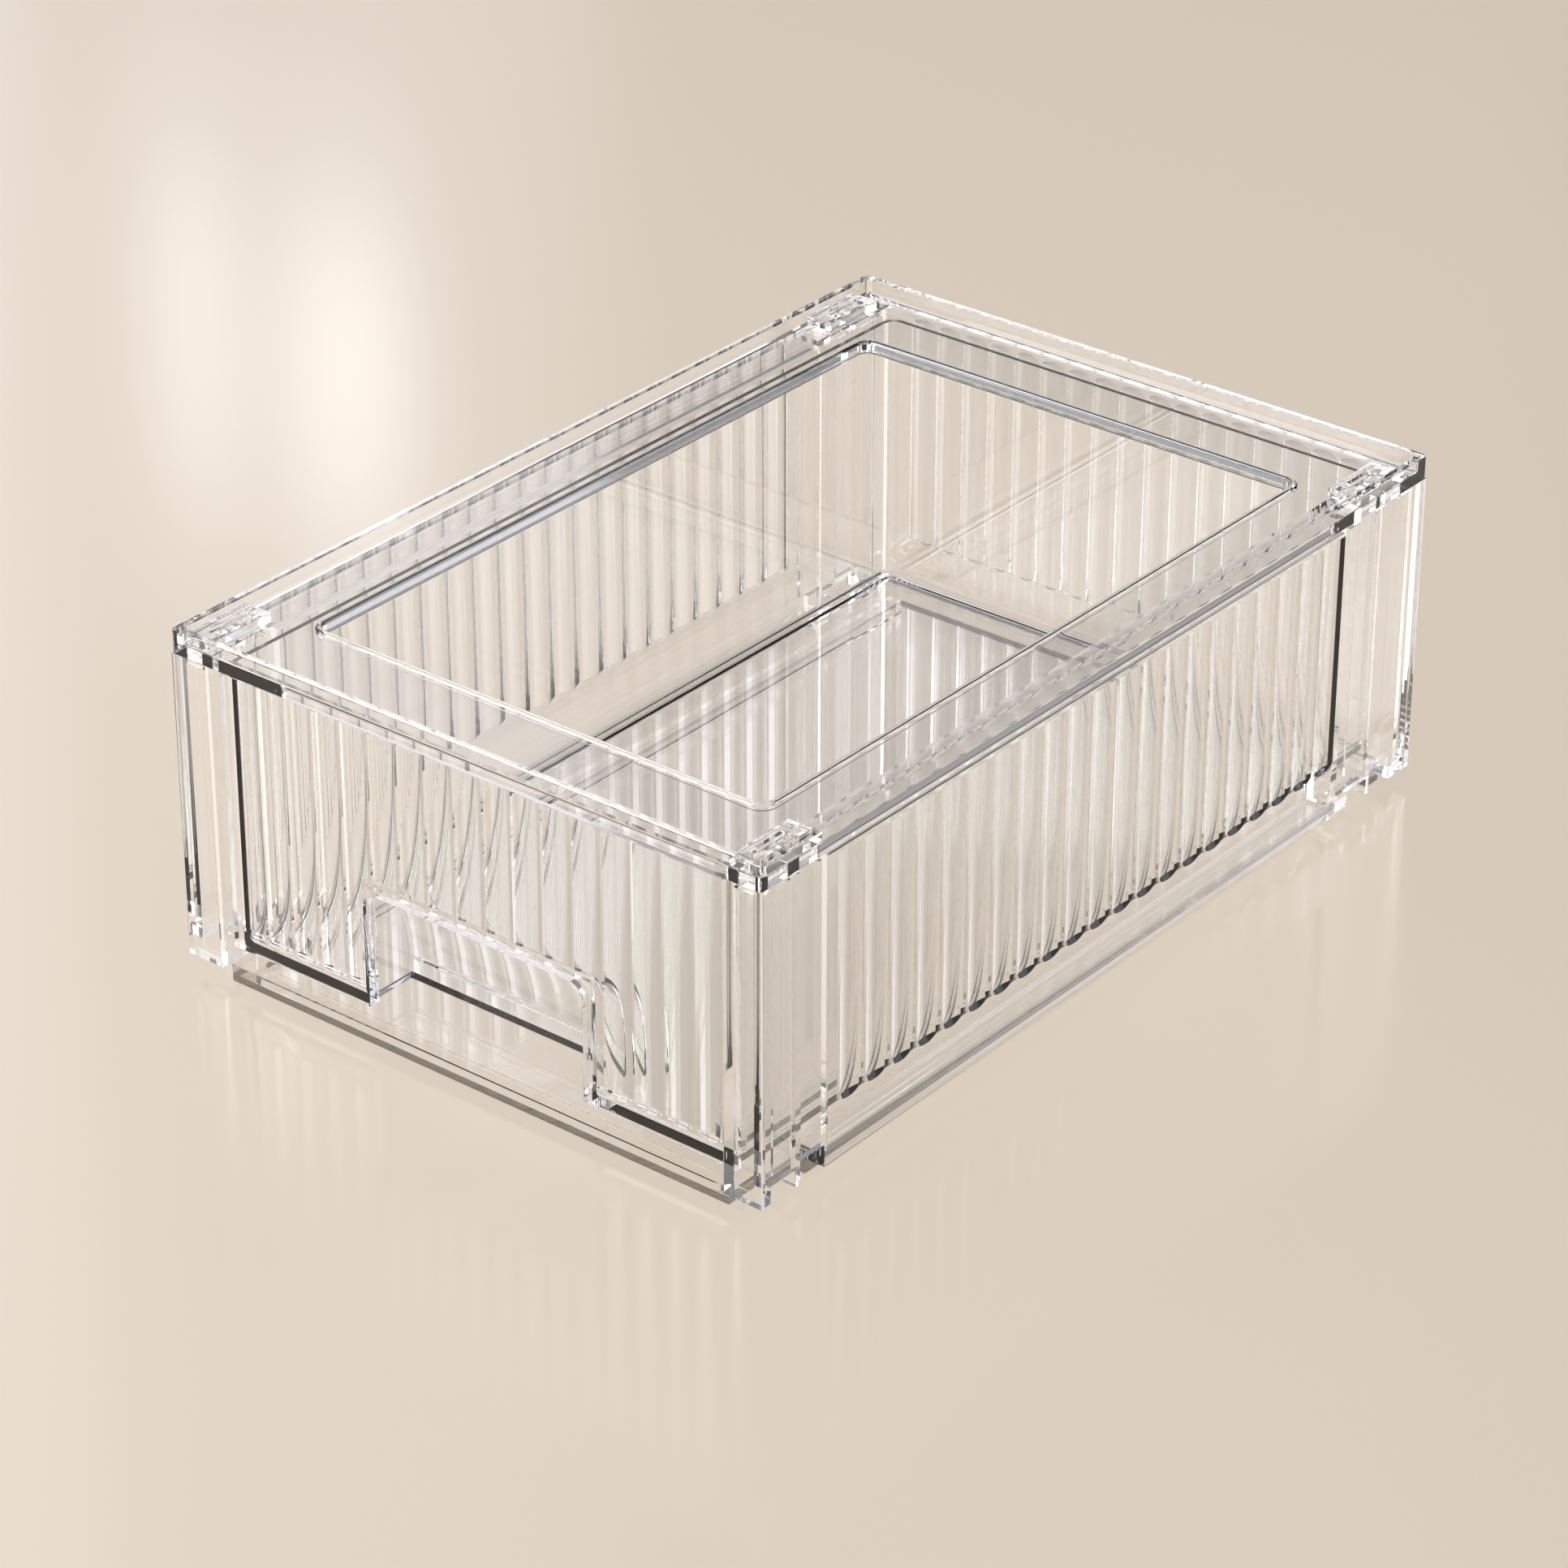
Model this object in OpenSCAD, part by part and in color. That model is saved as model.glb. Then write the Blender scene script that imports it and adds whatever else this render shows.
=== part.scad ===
// Stackable drawer box: a clear moulded frame of five snap-together panels around one sliding drawer.
// +Z is up, the drawer opens towards -Y, and the origin is the centre of the foot's underside.

/* [Frame] */
// Outer width of the frame
box_w = 175; // [150:1:240]
// Outer depth of the frame
box_d = 260; // [230:1:320]
// Overall height, from the foot to the stacking rim
box_h = 91.5; // [80:0.5:130]

/* [Base panel] */
// How far the foot stands below the side panels
foot_h = 4.5; // [4:0.5:8]
// Distance from each side face of the frame to the foot
foot_inset_x = 6; // [5:0.5:8]
// Distance from the front and back faces of the frame to the foot
foot_inset_y = 2.6; // [2.6:0.2:6]
// Thickness of the base panel's web
base_web_t = 2.5; // [2:0.5:3.5]
// Width of the wall around the base panel's underside
base_wall_w = 5; // [4:0.5:8]
// Width of a drawer runner
runner_w = 4; // [3:0.5:8]
// Height of a drawer runner above the base panel
runner_h = 4; // [3:0.5:6]
// Distance from a runner's centre line to the side of the drawer tray
runner_inset = 11; // [8:0.5:16]

/* [Side and back panels] */
// Thickness of the side panels' outer wall
side_t = 3.2; // [2.8:0.2:5]
// Thickness of the back panel
back_t = 3.2; // [2.8:0.2:5]
// Width of the flanges and corner posts, outer wall included
post_w = 10.7; // [9.7:0.1:12.7]
// Depth of the front corner posts
post_front_d = 25; // [25:0.5:30]
// Depth of the back corner posts
post_back_d = 34; // [32:0.5:40]
// Thickness of the front jamb of each side panel
jamb_t = 3; // [2:0.2:3.2]
// Thickness of the ribs in the corner posts
rib_t = 2.4; // [1.6:0.2:3]
// Thickness of the side panels' top and bottom flanges
flange_t = 2.2; // [1.6:0.2:3]
// Thickness of the inner wall of each corner post
post_wall_t = 1.8; // [1.2:0.2:2]

/* [Top panel] */
// Thickness of the top plate
plate_t = 2.2; // [2:0.2:4]
// Height of the stacking rim above the top plate
rim_h = 4; // [2:0.5:4]
// Width of the stacking rim
rim_w = 2.2; // [1.6:0.2:2.4]
// Distance from the side faces of the frame to the window's bead
window_inset_x = 20; // [18:0.5:30]
// Distance from the front and back faces of the frame to the window's bead
window_inset_y = 26; // [20:0.5:40]
// Radius of the window's corners along the bead
window_r = 4; // [3:0.5:10]
// Radius of the bead around the window
bead_r = 1; // [0.8:0.1:1.6]
// How far the window's lip hangs below the top plate
lip_drop = 0.5; // [0.5:0.25:1.25]

/* [Flutes] */
// Depth of every flute
flute_depth = 0.7; // [0.4:0.1:1.2]
// Flat land between neighbouring flutes
flute_land = 0.7; // [0.4:0.1:1.5]
// Spacing of the flutes in the side panels
side_pitch = 9.45; // [7:0.05:12]
// Spacing of the flutes in the back panel
back_pitch = 8.35; // [7:0.05:12]
// Spacing of the flutes in the drawer front
front_pitch = 8.7; // [7:0.05:12]
// Height of the plain band below the flutes in the side and back panels
plain_band = 13; // [8:0.5:20]
// Plain margin above the flutes of the back panel and of the drawer front
flute_margin = 2; // [1.5:0.1:4]
// Plain margin below the flutes of the drawer front
flute_foot = 4.5; // [2:0.5:8]

/* [Drawer] */
// Gap between the drawer and the corner posts, on each side
drawer_gap_x = 0.5; // [0.3:0.1:1]
// Gap between the closed drawer and the back panel
drawer_gap_back = 1.5; // [0.5:0.5:5]
// Gap between the drawer and its runners
runner_gap = 0.3; // [0.2:0.1:0.6]
// Gap between the drawer front and the top plate
drawer_gap_top = 1.3; // [0.8:0.1:3]
// How far the drawer front is set back from the front of the frame
front_setback = 4; // [3:0.5:8]
// Thickness of the drawer front
front_t = 3; // [2.8:0.2:4]
// Corner radius of the drawer front
front_r = 3; // [1:0.5:5]
// Thickness of the tray's walls
tray_wall = 2; // [1.6:0.2:3]
// Thickness of the tray's floor
tray_floor = 1.6; // [1.4:0.2:3]
// How far the tray's sides are in from the sides of the drawer front
tray_step = 0.7; // [0.3:0.1:2]
// How far the tray's walls end below the top of the drawer front
tray_drop = 1.2; // [1.2:0.2:20]
// Radius of the tray's back corners
tray_r = 4; // [3:0.5:10]

/* [Pull notch] */
// Width of the notch in the drawer front
notch_w = 65.5; // [40:0.5:90]
// Height of the notch above the drawer's underside
notch_h = 30.5; // [24:0.5:40]
// Radius of the notch's upper corners
notch_r = 3.5; // [2:0.5:6]
// Width of the plain border around the notch
notch_border = 1.6; // [1:0.2:3]
// Depth of the finger pocket behind the drawer front's outer face
pocket_d = 16; // [14:0.5:24]
// How much wider than the notch the pocket is on each side, and how much higher
pocket_step = 1.2; // [0.6:0.2:2]
// Height of the pocket's upright back wall above the drawer's underside
pocket_knee = 6; // [5:0.5:14]

/* [Corner clips] */
// Length of a clip's head
clip_l = 19; // [17:0.5:20]
// Height of a clip's head above the top plate
clip_h = 2.6; // [1.5:0.1:3.5]
// Length of each of a clip's two legs
clip_leg_l = 6.4; // [4:0.2:7]
// Thickness of each leg
clip_leg_t = 4.4; // [3:0.2:5]
// How far the legs reach below the top plate
clip_leg_h = 9; // [6:0.5:14]
// Width of the C-shaped finger slot in a clip's head
clip_slot_w = 2; // [1.2:0.2:2.4]
// Depth of the finger slot
clip_slot_d = 1.6; // [0.8:0.1:2]
// Clearance around each clip
clip_fit = 0.2; // [0.1:0.05:0.4]
// Height of the openings at the foot of each corner post
post_notch_h = 6; // [4:0.5:10]

/* [Hidden] */
$fn = 64;
eps = 0.01;
over = 1;

clear_plastic = [0.86, 0.88, 0.89, 0.45];
drawer_plastic = [0.90, 0.91, 0.92, 0.45];
clip_plastic = [0.78, 0.80, 0.82, 0.6];

// Levels of the frame
side_z0 = foot_h;
side_z1 = box_h - rim_h - plate_t;
side_h = side_z1 - side_z0;
plate_z1 = side_z1 + plate_t;

// The opening between the corner posts, and the drawer in it
opening_w = box_w - 2 * post_w;
front_w = opening_w - 2 * drawer_gap_x;
tray_w = front_w - 2 * tray_step;
drawer_z0 = side_z0 + runner_h + runner_gap;
front_h = side_z1 - drawer_gap_top - drawer_z0;
tray_h = front_h - tray_drop;
front_y = -box_d / 2 + front_setback;
tray_y0 = front_y + front_t;
tray_y1 = box_d / 2 - back_t - drawer_gap_back;
tray_d = tray_y1 - tray_y0;

// The foot
foot_w = box_w - 2 * foot_inset_x;
foot_d = box_d - 2 * foot_inset_y;

// Corner clips: each is centred on the middle rib of its post
clip_w = post_w - rim_w - 2 * clip_fit;
clip_x = box_w / 2 - rim_w - clip_fit - clip_w / 2;
front_rib_y = -box_d / 2 + (jamb_t + post_front_d - rib_t) / 2;
back_rib_y = box_d / 2 - (back_t + rib_t + post_back_d - rib_t) / 2;
mid_rib_t = 1.6;
clip_leg_y = (clip_l - clip_leg_l) / 2 - over;
leg_x = box_w / 2 - side_t - clip_fit - clip_leg_t / 2;

// Row of flutes fills the width of a face in whole flutes
function flute_count(width, pitch) = floor(width / pitch);
function flute_half(pitch) = (pitch - flute_land) / 2;
function flute_radius(pitch) =
    (pow(flute_half(pitch), 2) + pow(flute_depth, 2)) / (2 * flute_depth);

// Rectangle with round corners, centred
module rounded_rect(w, d, r) {
    square([w - 2 * r, d], center = true);
    square([w, d - 2 * r], center = true);
    for (x = [-1, 1], y = [-1, 1])
        translate([x * (w / 2 - r), y * (d / 2 - r)])
            circle(r = r);
}

// Rectangle from y = 0 up, with its two upper corners round, centred on x
module arch(w, h, r) {
    translate([-w / 2, 0])
        square([w, h - r]);
    translate([-w / 2 + r, 0])
        square([w - 2 * r, h]);
    for (x = [-1, 1])
        translate([x * (w / 2 - r), h - r])
            circle(r = r);
}

// Box centred on x, with y and z given from edge to edge
module slab(w, y0, y1, z0, z1) {
    translate([-w / 2, y0, z0])
        cube([w, y1 - y0, z1 - z0]);
}

// One flute along z, with a domed end at its foot and either a square or a domed top
module flute(pitch, z0, z1, square_top) {
    r = flute_radius(pitch);
    end = flute_half(pitch);
    straight_z1 = square_top ? z1 : z1 - end;
    translate([0, flute_depth - r, z0 + end]) {
        cylinder(r = r, h = straight_z1 - z0 - end);
        sphere(r = r);
        if (!square_top)
            translate([0, 0, straight_z1 - z0 - end])
                sphere(r = r);
    }
}

// Row of flutes cut into a wall whose outer face is y = 0 and whose body is at y > 0
module flute_row(width, pitch, z0, z1, square_top) {
    count = flute_count(width, pitch);
    for (i = [0 : count - 1])
        translate([(i - (count - 1) / 2) * pitch, 0, 0])
            flute(pitch, z0, z1, square_top);
}

// Rounded bead laid flat along a rectangle with round corners
module bead_ring(w, d, corner_r, r) {
    for (s = [-1, 1]) {
        translate([s * w / 2, 0, 0])
            rotate([90, 0, 0])
                cylinder(r = r, h = d - 2 * corner_r, center = true);
        translate([0, s * d / 2, 0])
            rotate([0, 90, 0])
                cylinder(r = r, h = w - 2 * corner_r, center = true);
    }
    for (i = [0 : 3])
        rotate([0, 0, i * 90]) {
            x = (i % 2 == 0 ? w : d) / 2 - corner_r;
            y = (i % 2 == 0 ? d : w) / 2 - corner_r;
            translate([x, y, 0])
                rotate_extrude(angle = 90)
                    translate([corner_r, 0])
                        circle(r = r);
        }
}

// Pocket in a corner of the foot that takes the clip of the box below
module stack_pocket(y) {
    pocket_w = clip_x + clip_w / 2 - opening_w / 2 + 3 * clip_fit + over;
    translate([opening_w / 2 - 3 * clip_fit, y - clip_l / 2 - 3 * clip_fit, -over])
        cube([pocket_w, clip_l + 6 * clip_fit, foot_h + 2 * over]);
}

module base_panel() {
    color(clear_plastic)
        difference() {
            union() {
                linear_extrude(foot_h)
                    rounded_rect(foot_w, foot_d, 2);
                for (x = [-1, 1])
                    translate([x * (tray_w / 2 - runner_inset), 0, foot_h - eps])
                        slab(runner_w, tray_y0 + runner_inset, tray_y1 - runner_inset, 0, runner_h + eps);
            }
            translate([0, 0, -over])
                linear_extrude(foot_h - base_web_t + over)
                    rounded_rect(opening_w - 2 * base_wall_w, foot_d - 2 * base_wall_w, 3);
            for (x = [0, 1], y = [front_rib_y, back_rib_y])
                mirror([x, 0, 0])
                    stack_pocket(y);
        }
}

// Upright rib of a corner post, between the flanges
module post_rib(y0, y1) {
    translate([box_w / 2 - post_w, y0, side_z0])
        cube([post_w - side_t + eps, y1 - y0, side_h]);
}

// Inner wall of a corner post, between the flanges
module post_wall(y0, y1) {
    translate([box_w / 2 - post_w, y0, side_z0])
        cube([post_wall_t, y1 - y0, side_h]);
}

// Flange along the whole side panel
module side_flange(z0) {
    translate([box_w / 2 - post_w, -box_d / 2, z0])
        cube([post_w - side_t + eps, box_d - back_t, flange_t]);
}

// Holes for the two legs of a clip, through a side panel's top flange
module clip_holes(y, z0, z1) {
    for (s = [-1, 1])
        translate([leg_x, y + s * clip_leg_y, (z0 + z1) / 2])
            cube([clip_leg_t + 2 * clip_fit, clip_leg_l + 2 * clip_fit, z1 - z0], center = true);
}

// Two openings at the foot of a corner post, one on each side of its middle rib
module post_notches(y) {
    notch_l = clip_l / 2 - mid_rib_t / 2;
    for (s = [-1, 1])
        translate([box_w / 2 - post_w + post_wall_t, y + s * (mid_rib_t + notch_l) / 2 - notch_l / 2, side_z0 - over])
            cube([box_w, notch_l, (s < 0 ? 0.75 : 1) * post_notch_h + over]);
}

// Side panel on the right, its outer face at +X
module side_panel() {
    field = box_d - post_front_d - post_back_d;
    field_y = (post_front_d - post_back_d) / 2;
    difference() {
        union() {
            translate([box_w / 2 - side_t, -box_d / 2, side_z0])
                cube([side_t, box_d, side_h]);
            side_flange(side_z0);
            side_flange(side_z1 - flange_t);
            post_rib(-box_d / 2, -box_d / 2 + jamb_t);
            post_rib(front_rib_y - mid_rib_t / 2, front_rib_y + mid_rib_t / 2);
            post_rib(-box_d / 2 + post_front_d - rib_t, -box_d / 2 + post_front_d);
            post_rib(box_d / 2 - post_back_d, box_d / 2 - post_back_d + rib_t);
            post_rib(back_rib_y - mid_rib_t / 2, back_rib_y + mid_rib_t / 2);
            post_rib(box_d / 2 - back_t - rib_t, box_d / 2 - back_t);
            post_wall(-box_d / 2, -box_d / 2 + post_front_d);
            post_wall(box_d / 2 - post_back_d, box_d / 2 - back_t);
        }
        translate([box_w / 2, field_y, 0])
            rotate([0, 0, 90])
                flute_row(field, side_pitch, side_z0 + plain_band, side_z1 - flange_t, true);
        for (y = [front_rib_y, back_rib_y]) {
            clip_holes(y, side_z1 - flange_t - over, side_z1 + over);
            post_notches(y);
        }
    }
}

module side_panel_right() {
    color(clear_plastic)
        side_panel();
}

module side_panel_left() {
    color(clear_plastic)
        mirror([1, 0, 0])
            side_panel();
}

module back_panel() {
    width = box_w - 2 * side_t;
    color(clear_plastic)
        difference() {
            slab(width, box_d / 2 - back_t, box_d / 2, side_z0, side_z1);
            translate([0, box_d / 2, 0])
                rotate([0, 0, 180])
                    flute_row(opening_w - 2 * base_wall_w, back_pitch,
                        side_z0 + plain_band, side_z1 - flute_margin, false);
        }
}

module top_panel() {
    bead_w = box_w - 2 * window_inset_x;
    bead_d = box_d - 2 * window_inset_y;
    lip_half = bead_r * 0.87;
    color(clear_plastic)
        difference() {
            union() {
                translate([0, 0, side_z1])
                    linear_extrude(plate_t + rim_h)
                        rounded_rect(box_w, box_d, 1);
                translate([0, 0, side_z1 - lip_drop])
                    linear_extrude(lip_drop + eps)
                        rounded_rect(bead_w + 2 * lip_half, bead_d + 2 * lip_half, window_r + lip_half);
            }
            difference() {
                translate([0, 0, plate_z1])
                    linear_extrude(rim_h + over)
                        rounded_rect(box_w - 2 * rim_w, box_d - 2 * rim_w, 1.5);
                translate([0, 0, plate_z1 - bead_r / 3])
                    bead_ring(bead_w, bead_d, window_r, bead_r);
            }
            translate([0, 0, side_z1 - lip_drop - over])
                linear_extrude(lip_drop + plate_t + over - bead_r)
                    rounded_rect(bead_w - 2 * lip_half, bead_d - 2 * lip_half, window_r - lip_half);
            translate([0, 0, side_z1])
                linear_extrude(plate_t + rim_h)
                    rounded_rect(bead_w - 2 * lip_half, bead_d - 2 * lip_half, window_r - lip_half);
            for (x = [0, 1], y = [front_rib_y, back_rib_y])
                mirror([x, 0, 0])
                    clip_holes(y, side_z1 - over, plate_z1 + over);
        }
}

// Space of the finger pocket, or its skin when grown by the wall's thickness
module pocket_space(grow) {
    w = notch_w + 2 * pocket_step + 2 * grow;
    top = notch_h + pocket_step;
    vault_top = top + 0.4;
    depth = pocket_d - front_t;
    rise = vault_top - pocket_knee;
    setback = (rise * rise - depth * depth) / (2 * depth);
    r = depth + setback;
    intersection() {
        translate([0, 0, drawer_z0])
            rotate([90, 0, 90])
                linear_extrude(w, center = true) {
                    translate([tray_y0 - over, -over])
                        square([depth + over + grow, pocket_knee + over]);
                    intersection() {
                        translate([tray_y0 - setback, pocket_knee])
                            circle(r = r + grow, $fn = 96);
                        translate([tray_y0 - over, pocket_knee - over])
                            square([depth + over + grow, rise + over + grow]);
                    }
                }
        translate([0, tray_y0 + pocket_d + over, drawer_z0 - over])
            rotate([90, 0, 0])
                linear_extrude(pocket_d + 3 * over)
                    arch(w, top + over + grow, notch_r + pocket_step + grow);
    }
}

// Outline of the tray, shrunk at its sides and back, from one height above its underside to another
module tray_shape(shrink, h0, h1) {
    w = tray_w - 2 * shrink;
    d = tray_d - shrink;
    r = tray_r - shrink / 2;
    start = shrink > 0 ? tray_y0 : tray_y0 - eps;
    translate([0, start, drawer_z0 + h0])
        linear_extrude(h1 - h0)
            arch(w, tray_y0 + d - start, r);
}

// Tray behind the drawer front, with the finger pocket and its skin
module tray() {
    difference() {
        union() {
            difference() {
                tray_shape(0, 0, tray_h);
                tray_shape(tray_wall, tray_floor, tray_h + over);
            }
            intersection() {
                pocket_space(tray_wall);
                slab(tray_w - tray_wall, tray_y0 - eps, tray_y1, drawer_z0, drawer_z0 + tray_h);
            }
        }
        pocket_space(0);
    }
}

module drawer() {
    color(drawer_plastic)
        difference() {
            union() {
                translate([0, tray_y0, drawer_z0])
                    rotate([90, 0, 0])
                        linear_extrude(front_t)
                            arch(front_w, front_h, front_r);
                tray();
            }
            translate([0, tray_y0 + over / 2, drawer_z0 - over])
                rotate([90, 0, 0])
                    linear_extrude(front_t + over)
                        arch(notch_w, notch_h + over, notch_r);
            difference() {
                translate([0, front_y, 0])
                    flute_row(front_w - flute_margin, front_pitch,
                        drawer_z0 + flute_foot, drawer_z0 + front_h - flute_margin, true);
                translate([0, tray_y0 + over, drawer_z0 - over])
                    rotate([90, 0, 0])
                        linear_extrude(front_t + 3 * over)
                            arch(notch_w + 2 * notch_border, notch_h + over + notch_border,
                                notch_r + notch_border);
            }
        }
}

// Two-legged clip: its head sits on the top plate and its legs hold the plate to a side panel
module corner_clip(y) {
    slot_l = clip_l - 6;
    difference() {
        union() {
            translate([clip_x - clip_w / 2, y - clip_l / 2, plate_z1])
                cube([clip_w, clip_l, clip_h]);
            for (s = [-1, 1])
                translate([leg_x - clip_leg_t / 2, y + s * clip_leg_y - clip_leg_l / 2, plate_z1 - clip_leg_h])
                    cube([clip_leg_t, clip_leg_l, clip_leg_h + eps]);
        }
        translate([clip_x - clip_slot_w / 2, y - slot_l / 2, plate_z1 + clip_h - clip_slot_d])
            cube([clip_slot_w, slot_l, clip_slot_d + over]);
        for (s = [-1, 1])
            translate([clip_x - clip_slot_w / 2, y + s * (slot_l - clip_slot_w) / 2 - clip_slot_w / 2,
                plate_z1 + clip_h - clip_slot_d])
                cube([clip_slot_w * 1.6, clip_slot_w, clip_slot_d + over]);
    }
}

module clip_front_right() {
    color(clip_plastic)
        corner_clip(front_rib_y);
}

module clip_front_left() {
    color(clip_plastic)
        mirror([1, 0, 0])
            corner_clip(front_rib_y);
}

module clip_back_right() {
    color(clip_plastic)
        corner_clip(back_rib_y);
}

module clip_back_left() {
    color(clip_plastic)
        mirror([1, 0, 0])
            corner_clip(back_rib_y);
}

base_panel();
side_panel_left();
side_panel_right();
back_panel();
top_panel();
clip_front_left();
clip_front_right();
clip_back_left();
clip_back_right();
drawer();
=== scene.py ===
"""Clear fluted drawer box: a frame of five moulded panels, four corner clips and one drawer.

Every piece is moulded from the same colourless styrene acrylonitrile. The meshes here stand in for the
fixed CAD nodes: they keep the nodes' outlines and places, and add rounded mould edges, the flutes'
run-outs and fillets. Sizes are in millimetres, and mesh_object turns them into metres.
"""

import logging
import math
from collections.abc import Sequence
from dataclasses import dataclass, field
from enum import Enum

import bmesh
import bpy
from mathutils import Matrix, Vector

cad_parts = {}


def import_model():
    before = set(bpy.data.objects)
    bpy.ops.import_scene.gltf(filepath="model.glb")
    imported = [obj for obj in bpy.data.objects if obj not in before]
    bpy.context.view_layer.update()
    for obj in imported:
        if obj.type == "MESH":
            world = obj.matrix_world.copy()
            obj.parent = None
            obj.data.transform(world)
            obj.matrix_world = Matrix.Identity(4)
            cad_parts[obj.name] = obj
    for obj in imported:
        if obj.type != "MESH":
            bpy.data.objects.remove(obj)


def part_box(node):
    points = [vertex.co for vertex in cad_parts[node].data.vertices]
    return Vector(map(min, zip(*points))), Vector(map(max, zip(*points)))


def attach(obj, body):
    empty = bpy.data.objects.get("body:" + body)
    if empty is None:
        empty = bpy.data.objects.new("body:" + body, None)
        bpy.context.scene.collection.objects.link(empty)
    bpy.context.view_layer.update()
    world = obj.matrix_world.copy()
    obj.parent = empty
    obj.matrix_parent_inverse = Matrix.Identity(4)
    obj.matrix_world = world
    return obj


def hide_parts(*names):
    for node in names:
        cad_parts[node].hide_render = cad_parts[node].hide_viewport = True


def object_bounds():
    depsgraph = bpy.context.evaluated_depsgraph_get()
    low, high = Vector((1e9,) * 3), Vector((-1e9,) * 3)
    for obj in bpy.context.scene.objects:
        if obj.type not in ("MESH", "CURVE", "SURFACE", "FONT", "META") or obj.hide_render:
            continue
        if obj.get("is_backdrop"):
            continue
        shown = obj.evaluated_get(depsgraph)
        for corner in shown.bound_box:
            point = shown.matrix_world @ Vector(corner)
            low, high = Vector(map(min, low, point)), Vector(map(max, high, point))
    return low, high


MM = 0.001
OVERLAP = 0.5
"""How far joined solids reach into each other, in millimetres."""
OVERSHOOT = 1.0
"""How far a cutter goes past the faces that it cuts, in millimetres."""
WELD = 0.001
"""Points closer than this are taken as one place, in millimetres."""
LOG = logging.getLogger("drawer_box")

Point2 = tuple[float, float]
Point3 = tuple[float, float, float]
Feed = bpy.types.Node | bpy.types.NodeSocket | float
"""What a node's input takes: another node's first output, a certain output or a plain value."""


class Cut(Enum):
    """How one solid changes another."""

    JOIN = "UNION"
    CARVE = "DIFFERENCE"
    KEEP_COMMON = "INTERSECT"


class Axis(Enum):
    """The direction that a flat outline is drawn out along."""

    X = 0
    Y = 1
    Z = 2


# ---------------------------------------------------------------- colours and finishes


def linear(hex_colour: str) -> tuple[float, float, float, float]:
    """Turns an sRGB hex colour into the linear values that shaders take.

    Args:
        hex_colour: Six hex digits, with or without a leading hash sign.

    Returns:
        Linear red, green and blue with an alpha of 1.
    """
    digits = hex_colour.lstrip("#")
    parts = [int(digits[i : i + 2], 16) / 255 for i in (0, 2, 4)]
    red, green, blue = [c / 12.92 if c <= 0.04045 else ((c + 0.055) / 1.055) ** 2.4 for c in parts]
    return red, green, blue, 1.0


def place(
    tree: bpy.types.NodeTree, kind: str, inputs: dict | None = None, **settings: object
) -> bpy.types.Node:
    """Adds one node to a tree, with its settings, values and links.

    Args:
        tree: The node tree that gets the node.
        kind: The node's type name.
        inputs: Input name or index to a value, to the output socket that feeds it, or to the node
            whose first output does.
        **settings: Properties of the node itself.

    Returns:
        The new node.
    """
    node = tree.nodes.new(kind)
    for name, value in settings.items():
        setattr(node, name, value)
    for key, value in (inputs or {}).items():
        if isinstance(value, bpy.types.Node):
            value = value.outputs[0]
        if isinstance(value, bpy.types.NodeSocket):
            tree.links.new(value, node.inputs[key])
        else:
            node.inputs[key].default_value = value
    return node


@dataclass(frozen=True)
class ClearStyrene:
    """Injection-moulded styrene acrylonitrile, water clear, with a polished mould surface.

    The eye gets full transparency with bright and dark lines at every edge, a trace of grey in long
    paths through the plastic, and the slow ripple that a moulding keeps from its cooling.
    """

    name: str
    tint: str = "#fefefe"
    ior: float = 1.52
    roughness_low: float = 0.0
    roughness_high: float = 0.03
    handling_mm: float = 38.0
    handled_from: float = 0.45
    handled_to: float = 0.8
    ripple_mm: float = 14.0
    ripple_height_mm: float = 0.5
    ripple_strength: float = 0.001
    shade: str = "#fefefe"
    absorption: str = "#e9e8e8"
    absorption_per_m: float = 3.0

    def build(self) -> bpy.types.Material:
        """Makes the material.

        Returns:
            A material with a clear surface, a faint moulding ripple and light absorption inside.
        """
        material = bpy.data.materials.new(self.name)
        material.use_nodes = True
        tree = material.node_tree
        tree.nodes.clear()
        where = place(tree, "ShaderNodeTexCoord").outputs["Object"]
        handling = place(
            tree,
            "ShaderNodeTexNoise",
            {"Vector": where, "Scale": 1 / (self.handling_mm * MM), "Detail": 3.0, "Roughness": 0.6},
        )
        polish = place(
            tree,
            "ShaderNodeMapRange",
            {
                "Value": handling,
                "From Min": self.handled_from,
                "From Max": self.handled_to,
                "To Min": self.roughness_low,
                "To Max": self.roughness_high,
            },
        )
        ripple = place(
            tree,
            "ShaderNodeTexNoise",
            {"Vector": where, "Scale": 1 / (self.ripple_mm * MM), "Detail": 1.0},
        )
        bump = place(
            tree,
            "ShaderNodeBump",
            {"Height": ripple, "Strength": self.ripple_strength, "Distance": self.ripple_height_mm * MM},
        )
        surface = place(
            tree,
            "ShaderNodeBsdfPrincipled",
            {
                "Base Color": linear(self.tint),
                "Roughness": polish,
                "IOR": self.ior,
                "Transmission Weight": 1.0,
                "Normal": bump,
            },
        )
        # Light from the lamps goes straight through, so the clear box throws no black shadow.
        passing = place(tree, "ShaderNodeBsdfTransparent", {"Color": linear(self.shade)})
        rays = place(tree, "ShaderNodeLightPath").outputs
        lit = {0: rays["Is Shadow Ray"], 1: rays["Is Diffuse Ray"]}
        lighting = place(tree, "ShaderNodeMath", lit, operation="MAXIMUM")
        mixed = place(tree, "ShaderNodeMixShader", {0: lighting, 1: surface, 2: passing})
        inside = place(
            tree,
            "ShaderNodeVolumeAbsorption",
            {"Color": linear(self.absorption), "Density": self.absorption_per_m},
        )
        place(tree, "ShaderNodeOutputMaterial", {"Surface": mixed, "Volume": inside})
        return material


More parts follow.
